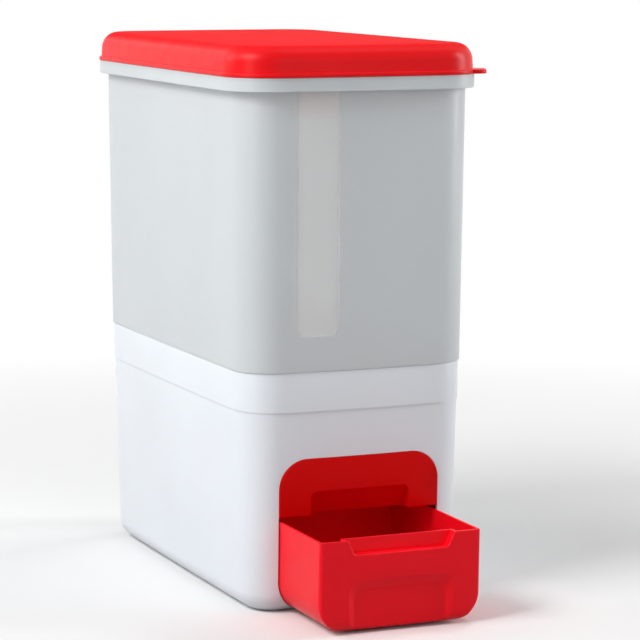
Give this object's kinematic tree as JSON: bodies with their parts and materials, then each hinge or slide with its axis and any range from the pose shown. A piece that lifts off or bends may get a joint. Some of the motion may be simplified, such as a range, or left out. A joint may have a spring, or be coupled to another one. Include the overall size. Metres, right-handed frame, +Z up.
{
  "type": "rice dispenser with drawer",
  "caption": "Upright kitchen dispenser for dry grain: frosted container with a lift-off red lid on a white base, with a red pull-out drawer fed by a funnel.",
  "frame": {"origin": "middle of the base's resting plane", "axes": "+Z up; the drawer pulls out towards -Y; +X is to the right of someone facing the drawer"},
  "size_m": [0.2091, 0.4102, 0.419],
  "materials": {
    "white_shell": "satin moulded",
    "white_funnel": "smooth moulded",
    "red_panel": "satin moulded",
    "red_housing": "satin moulded",
    "screw_steel": "plain",
    "runner_plastic": "low friction",
    "bumper_rubber": "soft",
    "red_drawer": "satin moulded",
    "shutter_plastic": "smooth moulded",
    "frosted_clear": "frosted translucent",
    "gasket_rubber": "soft",
    "red_lid": "glossy moulded"
  },
  "bodies": {
    "base": {"base_shell": "white_shell", "funnel": "white_funnel", "face_panel": "red_panel", "drawer_tunnel": "red_housing", "housing_screws": "screw_steel", "runner_left": "runner_plastic", "runner_right": "runner_plastic", "bumper_left": "bumper_rubber", "bumper_right": "bumper_rubber", "container_gasket": "gasket_rubber"},
    "drawer": {"drawer": "red_drawer", "drawer_shutter": "shutter_plastic"},
    "container": {"container": "frosted_clear"},
    "lid": {"lid": "red_lid"}
  },
  "joints": [
    {"name": "drawer_slide", "type": "slide", "parent": "base", "child": "drawer", "axis": [0, -1, 0], "range_m": [-0.0755, 0]},
    {"name": "container_lift", "type": "slide", "parent": "base", "child": "container", "axis": [0, 0, 1], "range_m": [0, 0.06]},
    {"name": "lid_lift", "type": "slide", "parent": "container", "child": "lid", "axis": [0, 0, 1], "range_m": [0, 0.06]}
  ]
}
